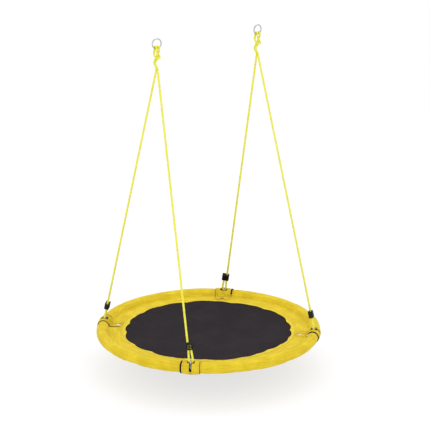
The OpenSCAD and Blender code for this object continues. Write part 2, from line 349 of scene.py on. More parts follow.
# %% [markdown]
# ## Rope finish
# The rope is braided from shiny polyethylene filaments. Each strand carries how far round
# itself a point is, so fine filament lines can run along the strand.

# %% Rope finish
rope_finish = Finish("lemon braided rope", 0.42, Specular_IOR_Level=0.35)
filaments = rope_finish.attribute("around").wave(0.1)
soil = rope_finish.speckle(60, 4).clamp(0.45, 0.75)
fresh = rope_finish.mottled(rope_finish.speckle(420, 2), 0.35, 0.7, (238, 232, 58),
                            (247, 243, 104))
rope_finish.feed(Base_Color=rope_finish.blend(soil * 0.45, fresh, colour(214, 205, 44)),
                 Roughness=rope_finish.speckle(300) * 0.25 + 0.34)
rope_finish.bump(filaments * 0.5 + rope_finish.speckle(900, 2), 0.12 * MM)

# %% [markdown]
# ## Braid
# Eight strands wind round a core, four each way, and pass over and under each other. Each
# strand's distance from the axis rises and falls with a cosine, once for every two strands
# that it crosses, and the two directions use opposite signs, so one is always over the
# other. The tree copies the path eight times and moves each copy outwards by that rule.

# %% Braid tree
braid = GeometryTree("braid", Pitch="Float", Radius="Float", Weave="Float", Strand="Float",
                     Step="Float", Material="Material")
path = braid.node("GeometryNodeResampleCurve", {
    "Curve": braid.curve, "Length": braid.input("Step")}, mode="LENGTH")
copies = braid.node("GeometryNodeDuplicateElements", {"Geometry": path, "Amount": 8},
                    domain="SPLINE")
index = Socket(braid, copies.socket.node.outputs["Duplicate Index"])
way = 1 - 2 * index.math("MODULO", 2)
turn = braid.along() / braid.input("Pitch")
angle = (way * turn + (index / 2).math("FLOOR") / 4) * (2 * math.pi)
radius = braid.input("Radius") + way * braid.input("Weave") * (turn * (8 * math.pi)).math("COSINE")
normal = braid.node("GeometryNodeInputNormal")
side = braid.vector("CROSS_PRODUCT", braid.node("GeometryNodeInputTangent"), normal)


def scaled(vector, amount):
    return braid.node("ShaderNodeVectorMath", {0: vector, "Scale": amount}, operation="SCALE")


offset = braid.vector("ADD", scaled(normal, radius * angle.math("COSINE")),
                      scaled(side, radius * angle.math("SINE")))
strands = braid.node("GeometryNodeSetPosition", {"Geometry": copies, "Offset": offset})
profile = braid.node("GeometryNodeCurvePrimitiveCircle", {"Resolution": 5, "Radius":
                     braid.input("Strand")})
profile = braid.node("GeometryNodeStoreNamedAttribute", {
    "Geometry": profile, "Name": "around",
    "Value": braid.node("GeometryNodeSplineParameter", out="Factor")})
shell = braid.node("GeometryNodeCurveToMesh", {"Curve": strands, "Profile Curve": profile,
                                               "Fill Caps": True})
core_profile = braid.node("GeometryNodeCurvePrimitiveCircle", {"Resolution": 8, "Radius":
                          braid.input("Radius")})
core = braid.node("GeometryNodeCurveToMesh", {"Curve": path, "Profile Curve": core_profile,
                                              "Fill Caps": True})
joined = braid.node("GeometryNodeJoinGeometry", [core])
braid.tree.links.new(shell.socket, joined.socket.node.inputs[0])
braid.finish(joined, braid.input("Material"))


def rope(name, lines, diameter, step=4 * MM):
    share = diameter / ROPE_D
    return grow(name, braid, lines, Pitch=40 * MM * share, Radius=3.1 * MM * share,
                Weave=0.4 * MM * share, Strand=2.0 * MM * share, Step=step,
                Material=rope_finish.material)


# %% [markdown]
# ## Route of the ropes
# One length of rope goes up from a front lug to a ring, is hitched there, and comes down to
# the back lug. Below its adjuster it turns round through the lug's eye and comes back up to
# the adjuster. The route's points are those of the engineering model, and the front left
# leg's are mirrored to the other three.

# %% Frame of a leg
LEG_SPLIT = 11.4 * MM
STRAND_X = 6.5 * MM
BEND_R = 9.5 * MM
SPREAD_TOP = 58 * MM
ADJUSTER_UP = 59 * MM
ADJUSTER_GRIP = 25 * MM
LUG_UP = 25.1 * MM
KNOT_H = 101 * MM
RING_X = (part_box("hanging_ring_right")[0].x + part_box("hanging_ring_right")[1].x) / 2
WIRE_Z = -43 * MM
LUG_POINT = on_rim(math.radians(225), 0, LUG_UP)
LEG_TOP = Vector((-RING_X, -LEG_SPLIT / 2, WIRE_Z - KNOT_H))
TANGENT = Vector((1, -1, 0)).normalized()


def square_to(vector, axis):
    return (vector - vector.dot(axis) * axis).normalized()


LEG_FOOT = LUG_POINT - STRAND_X * square_to(TANGENT, (LEG_TOP - LUG_POINT).normalized())
LEG_AXIS = (LEG_TOP - LEG_FOOT).normalized()
LEG_SIDE = square_to(TANGENT, LEG_AXIS)
LEG_LENGTH = (LEG_TOP - LEG_FOOT).length
print("a leg is", round(LEG_LENGTH, 4), "m from the lug to the hitch")


def mirrored(point, position):
    x = -point.x if position.endswith("right") else point.x
    y = -point.y if position.startswith("back") else point.y
    return Vector((x, y, point.z))


def leg_point(position, x, z):
    """A point in the frame of a leg: x towards the returning strand, z up the rope."""
    point = LEG_FOOT + (STRAND_X + x) * LEG_SIDE + z * LEG_AXIS
    return mirrored(point, position)


def straight(start, end, step=5 * MM):
    count = max(2, round((end - start).length / step))
    return [start.lerp(end, i / count) for i in range(count + 1)]


# %% Legs
for position in POSITIONS:
    start = leg_point(position, -STRAND_X, LEG_LENGTH - 1 * MM)
    end = leg_point(position, -STRAND_X, SPREAD_TOP)
    leg = rope("braided_leg_" + position, [straight(start, end)], ROPE_D)
    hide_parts("rope_" + position)
    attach(leg, "swing")
print("leg", round((end - start).length, 4), "m,", len(leg.data.polygons), "faces")

# %% Bend through the lug, and the strand that returns to the adjuster
bend_points = [(-STRAND_X, SPREAD_TOP - 0.1 * MM), (-6.7 * MM, SPREAD_TOP - 5 * MM),
               (-8.9 * MM, 17.1 * MM)]
bend_points += [(BEND_R * math.cos(math.radians(a)), BEND_R + BEND_R * math.sin(math.radians(a)))
                for a in range(180, 361, 15)]
for position in POSITIONS:
    bend = rope("braided_bend_" + position, [[leg_point(position, *p) for p in bend_points]],
                ROPE_D, 2 * MM)
    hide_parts("rope_bend_" + position)
    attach(bend, "swing")
    foot, head = leg_point(position, BEND_R, BEND_R), leg_point(position, STRAND_X, SPREAD_TOP)
    tail = rope("braided_tail_" + position, [straight(foot, head, 1 * MM)], ROPE_D, 1 * MM)
    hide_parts("rope_tail_" + position)
    "adjuster_body_" + position
    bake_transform(tail)
    held = [leg_point(position, STRAND_X, z) for z in (ADJUSTER_UP, ADJUSTER_UP + ADJUSTER_GRIP)]
    tip = rope("braided_end_" + position, [straight(*held)], ROPE_D, 2 * MM)
    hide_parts("rope_end_" + position)
    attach(tip, "adjuster_body_" + position)
print("bends, tails and ends on", len(POSITIONS), "lugs")

# %% [markdown]
# ## Hitch
# The rope goes twice over the ring's wire, and between the two passes it is taken round
# both of its own legs, which nips them together. The points are smoothed by a Catmull-Rom
# curve, which goes through every one of them.


# %% Hitch
def over_wire(x, way):
    w, c = way * 9.5, 11
    return [(x, -w, -8), (x, -w, 2), (x, -0.7 * w, 0.75 * c), (x, 0, c),
            (x, 0.7 * w, 0.75 * c), (x, w, 2), (x, w, -8)]


def catmull_rom(points, steps=6):
    out = []
    for i in range(len(points) - 1):
        p, a = points[max(i - 1, 0)], points[i]
        b, c = points[i + 1], points[min(i + 2, len(points) - 1)]
        for k in range(steps):
            t = k / steps
            out.append(0.5 * (2 * a + (b - p) * t + (2 * p - 5 * a + 4 * b - c) * t * t
                              + (3 * a - p - 3 * b + c) * t ** 3))
    return out + [points[-1]]


down = (LEG_FOOT - LEG_TOP).normalized()
back_down = Vector((down.x, -down.y, down.z))
kink = 31 - KNOT_H / MM
front_end = Vector((0, -LEG_SPLIT / 2, -KNOT_H)) / MM
back_end = Vector((0, LEG_SPLIT / 2, -KNOT_H)) / MM
route = [front_end, front_end - 4 * down, (-3, -4.5, kink - 16), (-9, -1, kink - 3),
         (-9, -1, kink + 8), (-3, -5, kink + 20), (0, -6, -40), (-4, -9, -24)]
route += over_wire(-7, 1)
route += [(-11, 8.5, -22), (-12, 0, -34), (-9.5, -11, -41), (0, -16, -43.5),
          (9.5, -11, -41), (12, 0, -34), (11, 8.5, -22)]
route += over_wire(7, -1)
route += [(3.5, -2, -24), (0, 4, -40), (-5, 6, kink + 19), (-9, 9.5, kink + 8),
          (-8, 9.5, kink - 3), (-2.5, 6.5, kink - 16), back_end - 4 * back_down, back_end]
hitch_curve = [p * MM for p in catmull_rom([Vector(p) for p in route])]
for name, x in (("left", -RING_X), ("right", RING_X)):
    centre = Vector((x, 0, WIRE_Z))
    hitch = rope("braided_hitch_" + name, [[centre + p for p in hitch_curve]], HITCH_D, 2.5 * MM)
    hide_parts("rope_hitch_" + name)
    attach(hitch, "swing")
length = sum((b - a).length for a, b in zip(hitch_curve, hitch_curve[1:]))
print("each hitch takes", round(length, 3), "m of rope")

# %% [markdown]
# ## Steel
# The rings are bright zinc and the frame is galvanised. Both keep the engineering model's
# own shapes. Zinc shows its age as cloudy patches: a Voronoi pattern gives the spangle of
# hot galvanising, and fine noise gives the scratches where a hook has rubbed.


# %% Steel finishes
def zinc(name, light, dark, spangle, roughness):
    finish = Finish(name, roughness, Metallic=1.0)
    grains = finish.node("ShaderNodeTexVoronoi", {"Vector": finish.place, "Scale": spangle},
                         out="Color")
    grain = finish.node("ShaderNodeSeparateXYZ", [grains])
    cloud = finish.speckle(55, 4).clamp(0.35, 0.7)
    scratch = finish.speckle(260, 2, finish.stretched(finish.place, 1, 1, 12)).clamp(0.6, 0.7)
    base = finish.blend(grain * 0.5 + cloud * 0.5, light, dark)
    finish.feed(Base_Color=finish.blend(scratch * 0.4, base, colour(236, 238, 240)),
                Roughness=cloud * 0.18 + grain * 0.1 + roughness)
    finish.bump(finish.speckle(700, 2) + scratch * -0.6, 0.05 * MM)
    return finish.material


ring_steel = zinc("bright zinc", colour(206, 209, 212), colour(150, 154, 158), 180, 0.16)
frame_steel = zinc("galvanised steel", colour(196, 200, 202), colour(152, 157, 160), 120, 0.3)
bolt_steel = zinc("zinc plated bolts", colour(186, 186, 178), colour(128, 128, 124), 300, 0.24)


# %% [markdown]
# ## Hanging rings
# Each ring is a bent wire whose ends are butt welded. The weld stands slightly proud and is
# ground on its outside, so it shows as a short swelling in the wire. It sits low at the
# side, away from the rope.


# %% Paint the steel parts and add the welds
def paint_mesh(mesh, material):
    mesh.materials.clear()
    mesh.materials.append(material)
    for face in mesh.polygons:
        face.material_index = 0


def paint(node, material):
    paint_mesh(frame["nodes"][node].data, material)


def lofted(name, rings, caps=True):
    """A skin over closed rings of points that all have the same count."""
    count = len(rings[0])
    points = [tuple(p) for ring in rings for p in ring]
    faces = []
    for i in range(len(rings) - 1):
        for k in range(count):
            j = (k + 1) % count
            faces.append((i * count + k, i * count + j, (i + 1) * count + j, (i + 1) * count + k))
    if caps:
        faces.append(tuple(range(count))[::-1])
        faces.append(tuple((len(rings) - 1) * count + k for k in range(count)))
    mesh = bpy.data.meshes.new(name)
    mesh.from_pydata(points, [], faces)
    with edited(mesh) as shell:
        bmesh.ops.recalc_face_normals(shell, faces=shell.faces)
    smooth_faces(mesh)
    return new_piece(name, mesh)


WIRE_R = 3 * MM
WELD_AT = {"left": math.radians(205), "right": math.radians(-25)}
WELD_SPREAD = 0.14
WELD_HALF_RINGS, WELD_SIDES = 6, 20


def weld(name, node):
    """A short swelling in a ring's wire, thickest in its middle and faintly rippled."""
    low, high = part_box(node)
    centre = (low + high) / 2
    way = 1 if name == "right" else -1
    plane = Vector((high.x - low.x, way * (high.y - low.y), 0)).normalized()
    other = plane.cross(Vector((0, 0, 1)))
    ring_r = (high.z - low.z) / 2 - WIRE_R
    rings = []
    for i in range(2 * WELD_HALF_RINGS + 1):
        t = i / WELD_HALF_RINGS - 1
        a = WELD_AT[name] + t * WELD_SPREAD
        radial = plane * math.cos(a) + Vector((0, 0, math.sin(a)))
        rise = 1 - t * t
        bead = WIRE_R * (1 + 0.22 * rise ** 1.5 + 0.03 * math.cos(9 * t) * rise) - 0.05 * MM
        rings.append([centre + ring_r * radial + bead * (math.cos(b) * radial
                                                         + math.sin(b) * other)
                      for b in (2 * math.pi * k / WELD_SIDES for k in range(WELD_SIDES))])
    piece = lofted("ring_weld_" + name, rings)
    piece.data.materials.append(ring_steel)
    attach(piece, "hanging_rings")


for side_name in ("left", "right"):
    paint("hanging_ring_" + side_name, ring_steel)
    weld(side_name, "hanging_ring_" + side_name)
for position in POSITIONS:
    paint("tube_coupling_" + position, frame_steel)
for side_name in SIDES:
    paint("frame_tube_" + side_name, frame_steel)
paint("coupling_bolts", bolt_steel)
paint("coupling_nuts", bolt_steel)
print("steel parts painted:", 2 + 4 + 4 + 2)

# %% [markdown]
# ## Adjusters
# An adjuster is moulded in black nylon. The mould leaves rounded edges, a satin grain and a
# faint parting line. The engineering solid has the right holes and slots but sharp edges,
# so a copy of it is merged into clean faces and bevelled.

# %% Adjuster finish
nylon = Finish("black moulded nylon", 0.42, Specular_IOR_Level=0.2)
handled = nylon.speckle(90, 4).clamp(0.45, 0.72)
nylon.feed(Base_Color=nylon.blend(handled * 0.5, colour(20, 19, 20), colour(44, 42, 42)),
           Roughness=handled * 0.2 + nylon.speckle(600) * 0.15 + 0.3)
nylon.bump(nylon.speckle(1500, 2) + nylon.speckle(220, 2) * 0.5, 0.06 * MM)

# %% Adjuster bodies
for position in POSITIONS:
    mesh = frame["nodes"]["adjuster_" + position].data.copy()
    with edited(mesh) as solid:
        bmesh.ops.remove_doubles(solid, verts=solid.verts, dist=0.01 * MM)
        bmesh.ops.dissolve_limit(solid, angle_limit=math.radians(2), verts=solid.verts,
                                 edges=solid.edges)
    paint_mesh(mesh, nylon.material)
    smooth_faces(mesh)
    body = new_piece("moulded_adjuster_" + position, mesh)
    edges = body.modifiers.new("rounded edges", "BEVEL")
    edges.width, edges.segments, edges.limit_method = 0.7 * MM, 3, "ANGLE"
    edges.angle_limit, edges.use_clamp_overlap = math.radians(32), True
    edges.harden_normals = True
    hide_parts("adjuster_" + position)
    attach(body, "adjuster_body_" + position)
print("adjusters:", len(POSITIONS), "with", len(mesh.polygons), "faces before bevelling")

# %% [markdown]
# ## Foam
# The foam tubes are hidden by the cover, and at most show through the opening at a joint.
# Their finish is closed-cell foam: off-white, dull, with small cells.

# %% Foam sleeves
foam = Finish("closed cell foam", 0.85)
cells = foam.node("ShaderNodeTexVoronoi", {"Vector": foam.place, "Scale": 900}, out="Distance")
foam.feed(Base_Color=foam.mottled(foam.speckle(40), 0.3, 0.8, (222, 221, 214),
                                  (204, 202, 192)), Roughness=cells * 0.2 + 0.75)
foam.bump(cells, 0.3 * MM)
for side_name in SIDES:
    paint("foam_sleeve_" + side_name, foam.material)
print("foam sleeves painted:", len(SIDES))

# %% [markdown]
# ## Cover fabric
# The cover is golden woven polyester with a faint ripstop look. Each sewn piece carries a
# map in metres, `u` along the rim and `v` across it, so the weave follows the fabric over
# the rim. Threads are two crossed sine waves. Wide streaks along the rim are where the
# fabric is drawn tight. Along the seams and creases, which `seam` marks on each point, the
# colour darkens in patches: partly soil, and partly painted shade in the creases beside the
# tube, the hem, the wraps' edges and their slits.


# %% A woven finish
def woven(name, light, dark, shade_and_soil_colour, thread, roughness=0.7, sheen=0.04):
    finish = Finish(name, roughness, Sheen_Weight=sheen, Sheen_Roughness=0.4,
                    Specular_IOR_Level=0.12)
    cloth_map = finish.node("ShaderNodeUVMap", uv_map="cloth")
    u, v, _ = finish.axes(cloth_map)
    weave = u.wave(thread) * v.wave(thread)
    slubs = finish.speckle(1, 3, finish.stretched(cloth_map, 90, 900, 1))
    streaks = finish.speckle(1, 4, finish.stretched(cloth_map, 9, 150, 1)).clamp(0.36, 0.68)
    mottle = finish.speckle(14, 4).clamp(0.32, 0.7)
    seam = finish.attribute("seam")
    tone = (streaks * 0.42 + mottle * 0.38 + slubs * 0.2).clamp(0.0, 1.0)
    cloth = finish.blend(tone, dark, light)
    # Painted shade and soil: near seams and creases the colour darkens in patches towards the
    # third colour.
    seam_shade_and_soil = (seam * (finish.speckle(70, 4).clamp(0.3, 0.62))).clamp(0.05, 0.95)
    finish.feed(Base_Color=finish.blend(seam_shade_and_soil * 0.55, cloth, shade_and_soil_colour),
                Roughness=tone * -0.12 + roughness + 0.08)
    finish.bump(weave * 0.5 + slubs * 0.9 + streaks * 0.6, 0.22 * MM)
    return finish


# Each woven finish's third colour is the darker one for painted shade and soil in the creases.
cover_fabric = woven("golden cover fabric", colour(235, 209, 50), colour(209, 181, 34),
                     colour(172, 140, 18), 1.1 * MM)
wrap_fabric = woven("golden wrap fabric", colour(231, 204, 48), colour(202, 173, 30),
                    colour(156, 126, 18), 1.1 * MM)


# %% [markdown]
# ## Sewn sheets
# A cover is one strip of fabric: flat over the band, round the foam, and back under itself
# to the seam. `sewn_grid` builds such a strip as rows across the fabric and columns along
# the rim, and drops the cells that are cut out. It also lays down the cloth map and marks
# the seams and creases, where the finish paints shade and soil.


# %% A grid of fabric
def sewn_grid(name, columns, material, seam, cut=lambda i, j: False):
    """Fabric whose columns are lists of points. For a column and a row, seam gives how near
    a seam or crease the point is, where the finish paints shade and soil, and cut whether
    the cell is left out."""
    rows = len(columns[0])
    middle = columns[len(columns) // 2]
    across = [0.0]
    for a, b in zip(middle, middle[1:]):
        across.append(across[-1] + (b - a).length)
    edge_row = rows // 2
    along = [0.0]
    for a, b in zip(columns, columns[1:]):
        along.append(along[-1] + (b[edge_row] - a[edge_row]).length)
    mesh = bpy.data.meshes.new(name)
    points = [tuple(p) for column in columns for p in column]
    cells = [(i, j) for i in range(len(columns) - 1) for j in range(rows - 1)
             if not cut(i, j)]
    mesh.from_pydata(points, [], [(i * rows + j, i * rows + j + 1, (i + 1) * rows + j + 1,
                                   (i + 1) * rows + j) for i, j in cells])
    layer = mesh.uv_layers.new(name="cloth")
    for loop in mesh.loops:
        i, j = divmod(loop.vertex_index, rows)
        layer.data[loop.index].uv = (along[i], across[j])
    marks = mesh.attributes.new("seam", "FLOAT", "POINT")
    marks.data.foreach_set("value", [seam(i, j) for i in range(len(columns))
                                     for j in range(rows)])
    mesh.materials.append(material)
    smooth_faces(mesh)
    return new_piece(name, mesh)


# %% [markdown]
# ## Filling fabric by simulation
# Fabric over foam is never quite smooth: it is cut a little too long, sewn down at its
# edges, and pushed out between them. Cloth gives that look for free. The fabric is made to
# grow by a few per cent, its edges are held, and pressure pushes it out. A limit on how far
# each point moves keeps it clear of its neighbours.


# %% Inflate
def inflate(piece, held, limit, pressure, growth, stiffness=12, frames=20):
    """Runs Cloth on a piece. held and limit give each point's hold (0-1) and largest move.
    No point moves inwards, because there is foam or steel behind the fabric."""
    rest = [v.co.copy() for v in piece.data.vertices]
    pins = piece.vertex_groups.new(name="held")
    pushed = piece.vertex_groups.new(name="pushed")
    for k in range(len(rest)):
        pins.add([k], held[k], "REPLACE")
        pushed.add([k], 1.0 if limit[k] > 0.5 * MM else 0.0, "REPLACE")
    cloth = piece.modifiers.new("cloth", "CLOTH")
    settings = cloth.settings
    settings.quality = 6
    settings.mass = 0.15
    settings.tension_stiffness = settings.compression_stiffness = stiffness
    settings.shear_stiffness = stiffness / 2
    settings.bending_stiffness = 0.4
    settings.shrink_min = settings.shrink_max = -growth
    settings.vertex_group_mass = "held"
    settings.use_pressure = True
    settings.uniform_pressure_force = pressure
    settings.vertex_group_pressure = "pushed"
    settings.effector_weights.gravity = 0
    cloth.collision_settings.use_collision = False
    normals = [v.normal.copy() for v in piece.data.vertices]
    cloth.point_cache.frame_start, cloth.point_cache.frame_end = 1, frames
    scene = bpy.context.scene
    for number in range(1, frames + 1):
        scene.frame_set(number)
    shaped = piece.evaluated_get(bpy.context.evaluated_depsgraph_get()).to_mesh()
    moved = [v.co.copy() for v in shaped.vertices]
    piece.modifiers.remove(cloth)
    piece.vertex_groups.clear()
    scene.frame_set(1)
    largest = 0.0
    for k, vertex in enumerate(piece.data.vertices):
        step = moved[k] - rest[k]
        step -= min(0.0, step.dot(normals[k])) * normals[k]
        cap = limit[k]
        if step.length > 1e-9:
            step *= cap * math.tanh(step.length / cap) / step.length if cap > 1e-6 else 0.0
        vertex.co = rest[k] + step
        largest = max(largest, step.length)
    piece.data.update()
    return largest


def smooth_step(x, low, high):
    t = min(1.0, max(0.0, (x - low) / (high - low)))
    return t * t * (3 - 2 * t)


# %% [markdown]
# ## Rim covers
# Four strips of fabric go round the foam and meet under the wraps. Across the fabric, each
# strip runs flat over the band, rises over the foam, comes back below, and ends in a seam
# allowance under the band. The strips' ends are cut back at a slant, which leaves the
# small see-through gap at each joint.

# %% Across a cover
COVER_TOP_R = COVER_R - 0.1 * MM
NOSE = COVER_R + 3 * MM
ALLOWANCE = 16 * MM


def across_foam(radius, nose, start, stop, count):
    """The part of a circle that fabric touches on its way round the foam from a nose on the
    inner side, as (out, up) points and their angles. start and stop are heights there."""
    def touch(up, sign):
        base = math.atan2(up, -nose) % (2 * math.pi)
        return base + sign * math.acos(min(1.0, radius / math.hypot(nose, up)))
    first, last = touch(start, -1), touch(stop, 1) - 2 * math.pi
    arc = [first + (last - first) * i / count for i in range(count + 1)]
    return [(radius * math.cos(a), radius * math.sin(a)) for a in arc], arc


def between(a, b, count):
    """Points from a up to, and not including, b."""
    return [(a[0] + (b[0] - a[0]) * i / count, a[1] + (b[1] - a[1]) * i / count)
            for i in range(count)]


arc_points, _ = across_foam(COVER_TOP_R, NOSE, BAND_Z, BAND_Z - 1.4 * MM, 32)
nose_top, nose_low = (-NOSE, BAND_Z), (-NOSE, BAND_Z - 1.4 * MM)
cover_across = between((BAND_IN_R - RIM_R, BAND_Z), nose_top, 13)
cover_across += between(nose_top, arc_points[0], 3) + arc_points[:-1]
cover_across += between(arc_points[-1], nose_low, 3)
cover_across += between(nose_low, (-NOSE - ALLOWANCE, nose_low[1]), 3)
cover_across.append((-NOSE - ALLOWANCE, nose_low[1]))
print("points across a cover:", len(cover_across))

# %% Quarters of the cover
COVER_COLUMNS = 150
END_BACK = 20 * MM
COVER_SWELL = 4.5 * MM
BAND_SWELL = 2.6 * MM


def cut_back(out):
    """How far a cover ends before the joint, at a distance out from the tube's centre."""
    slant = (RIM_R + out - GAP_IN_R) * 40 * MM / (RIM_R - GAP_IN_R)
    return min(max(slant, 0.1 * MM), END_BACK)


def cover_hold(i, j):
    """(how firmly a point is held, how far it may move) at a column and a row."""
    out, up = cover_across[j]
    from_joint = min(i, COVER_COLUMNS - i) / COVER_COLUMNS * RIM_R * math.pi / 2 + END_BACK
    free_along = smooth_step(from_joint, WRAP_W / 2 + 4 * MM, WRAP_W / 2 + 60 * MM)
    on_band = out < -NOSE + 1 * MM
    on_top = j < len(cover_across) // 2
    if on_band:
        inner = (out - (BAND_IN_R - RIM_R)) / (RIM_R - NOSE - BAND_IN_R)
        across_share = smooth_step(min(inner, 1 - inner), 0.02, 0.4) if on_top else 0.0
        swell = BAND_SWELL
    else:
        across_share = smooth_step(math.hypot(out + NOSE, up - BAND_Z), 0, 22 * MM)
        swell = COVER_SWELL
    limit = swell * free_along * across_share
    edge = j in (0, len(cover_across) - 1) or i in (0, COVER_COLUMNS)
    seam_line = abs(out + NOSE) < 0.1 * MM or (on_band and not on_top)
    return (1.0 if edge or seam_line else 0.0), limit + 0.02 * MM


# How much painted shade and soil a cover point gets: some in the crease at the nose beside the
# tube and beside the hem, most next to the wraps.
def cover_shade_and_soil(i, j):
    out, up = cover_across[j]
    near_nose = 1 - smooth_step(math.hypot(out + NOSE, up - BAND_Z), 0, 9 * MM)
    near_hem = 1 - smooth_step(out - (BAND_IN_R - RIM_R), 0, 10 * MM)
    from_joint = min(i, COVER_COLUMNS - i) / COVER_COLUMNS * RIM_R * math.pi / 2 + END_BACK
    near_wrap = 1 - smooth_step(from_joint, WRAP_W / 2, WRAP_W / 2 + 26 * MM)
    return max(0.4 * near_nose, 0.5 * near_hem, 0.8 * near_wrap)


for quarter, side_name in enumerate(SIDES):
    middle_angle = math.radians(180 - 90 * quarter)
    columns = []
    for i in range(COVER_COLUMNS + 1):
        t = 2 * i / COVER_COLUMNS - 1
        column = []
        for out, up in cover_across:
            half = math.pi / 4 - cut_back(out) / RIM_R
            point = on_rim(middle_angle + t * half, out, up)
            hold, limit = cover_hold(i, len(column))
            ripple = noise.noise(Vector((point.x * 28, point.y * 28, up * 60 + quarter * 7)))
            lift = 0.7 * MM * abs(ripple) * min(1.0, limit / (2 * MM))
            section = Vector((point.x, point.y, 0)).normalized() * out + Vector((0, 0, up))
            outwards = Vector((0, 0, 1)) if out < -NOSE else section.normalized()
            column.append(point + lift * outwards)
        columns.append(column)
    cover = sewn_grid("sewn_cover_" + side_name, columns, cover_fabric.material, cover_shade_and_soil)
    holds = [cover_hold(i, j) for i in range(COVER_COLUMNS + 1) for j in range(len(cover_across))]
    moved = inflate(cover, [h for h, _ in holds], [m for _, m in holds], 5.0, 0.035)
    thicken(cover, FABRIC)
    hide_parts("rim_cover_" + side_name)
    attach(cover, "swing")
    print(cover.name, "moved up to", round(moved / MM, 1), "mm")

# %% [markdown]
# ## Wraps over the joints
# A padded wrap closes the gap between two covers at each joint. It is a strip of the same
# fabric, doubled over a thin wadding, that goes round the rim and lies on the band as a
# flap. It is open on top for the lug and the rope, and slit below that down its outer side.
# A small window in the flap lines up with the gap between the covers.

# %% Across a wrap
WRAP_COLUMNS = 32
WRAP_EDGE_R = COVER_R + 2.9 * MM
FLAP_Z = -1.3 * MM
FLAP_TIP = GAP_IN_R + 3 * MM - RIM_R
OPEN_OUT, OPEN_ALONG = 13.5 * MM, 16 * MM
SLIT_ALONG, SLIT_LOW = 4.2 * MM, -9 * MM
wrap_arc, wrap_turn = across_foam(WRAP_EDGE_R, NOSE + 5.5 * MM, FLAP_Z, -7 * MM, 40)
wrap_across = between((FLAP_TIP, FLAP_Z), (-NOSE - 5.5 * MM, FLAP_Z), 10)
flap_rows = len(wrap_across)
wrap_across += between((-NOSE - 5.5 * MM, FLAP_Z), wrap_arc[0], 3)
arc_first = len(wrap_across)
wrap_across += wrap_arc
print("points across a wrap:", len(wrap_across))


def wrap_shift(i):
    """How far a column is from the middle of the wrap, along the rim."""
    return (i / WRAP_COLUMNS - 0.5) * WRAP_W


def wrap_cut(i, j):
    """The cells left out: the opening on top, the slit below it, and the window in the flap."""
    middle = abs(wrap_shift(i + 0.5))
    if wrap_across[j][0] + RIM_R < FLAP_IN_R - 3 * MM:
        return middle < 11.1 * MM
    if not arc_first <= j < len(wrap_across) - 1:
        return False
    out, up = ((a + b) / 2 for a, b in zip(wrap_across[j], wrap_across[j + 1]))
    opening = abs(out) < OPEN_OUT and up > 0 and middle < OPEN_ALONG
    return opening or (out > 0 and up > SLIT_LOW and middle < SLIT_ALONG)


def wrap_hold(i, j):
    shift = abs(wrap_shift(i))
    edge = i in (0, WRAP_COLUMNS) or j in (0, len(wrap_across) - 1)
    at_cut = any(wrap_cut(a, b) for a in (i - 1, i) for b in (j - 1, j)
                 if 0 <= a < WRAP_COLUMNS and 0 <= b < len(wrap_across) - 1)
    if edge or at_cut or j < flap_rows:
        return 1.0, (0.02 if edge or at_cut else 0.3) * MM
    ends = smooth_step(WRAP_W / 2 - shift, 0, 14 * MM)
    around = smooth_step(min(j - flap_rows, len(wrap_across) - 1 - j), 0, 6)
    return 0.0, 0.02 * MM + 5.5 * MM * ends * around


# How much painted shade and soil a wrap point gets: beside its rolled edges, in a band round the
# slit, and at the fold of the flap.
def wrap_shade_and_soil(i, j):
    shift = WRAP_W / 2 - abs(wrap_shift(i))
    slit_near = 1 - smooth_step(abs(wrap_shift(i)), 5 * MM, 11 * MM)
    crease = 1 - smooth_step(abs(j - flap_rows), 0, 4)
    return max(1 - smooth_step(shift, 0, 8 * MM), 0.8 * slit_near, crease)


# %% Wraps
wraps = {}
JOINT_ANGLE = {"front_left": 225, "back_left": 135, "back_right": 45, "front_right": 315}
for number, position in enumerate(POSITIONS):
    joint_angle = math.radians(JOINT_ANGLE[position])
    columns = []
    for i in range(WRAP_COLUMNS + 1):
        column = []
        for j, (out, up) in enumerate(wrap_across):
            hold, limit = wrap_hold(i, j)
            point = on_rim(joint_angle + wrap_shift(i) / RIM_R, out, up)
            section = Vector((point.x, point.y, 0)).normalized() * out + Vector((0, 0, up))
            ripple = noise.noise(Vector((wrap_shift(i) * 60 + 3 * number, out * 50, up * 50)))
            lift = limit * (0.25 + 0.35 * abs(ripple)) if hold < 0.5 else 0.0
            column.append(point + lift * section.normalized())
        columns.append(column)
    wrap = sewn_grid("padded_wrap_" + position, columns, wrap_fabric.material, wrap_shade_and_soil,
                     wrap_cut)
    holds = [wrap_hold(i, j) for i in range(WRAP_COLUMNS + 1) for j in range(len(wrap_across))]
    moved = inflate(wrap, [h for h, _ in holds], [m for _, m in holds], 6.0, 0.05)
    wraps[position] = columns
    with edited(wrap.data) as loose:
        bmesh.ops.delete(loose, geom=[v for v in loose.verts if not v.link_faces],
                         context="VERTS")
    thicken(wrap, WRAP_FABRIC)
    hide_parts("joint_wrap_" + position)
    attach(wrap, "swing")
    print(wrap.name, "moved up to", round(moved / MM, 1), "mm")

# %% [markdown]
# ## Edges of the wraps
# Each side of a wrap is finished with a roll of the yellow fabric over a cord. Outside it,
# one side has a wide black binding and the other a thin black one, and the slit has a black
# trim. A roll and a trim are a circle swept along the seam, which is one geometry tree. The
# wide binding is a flat tape, lofted square to the rim.

# %% Roll tree and black binding finish
roll = GeometryTree("roll", Radius="Float", Sides="Int", Material="Material")
roll_circle = roll.node("GeometryNodeCurvePrimitiveCircle", {
    "Resolution": roll.input("Sides"), "Radius": roll.input("Radius")})
roll.finish(roll.node("GeometryNodeCurveToMesh", {
    "Curve": roll.curve, "Profile Curve": roll_circle, "Fill Caps": True}),
    roll.input("Material"))

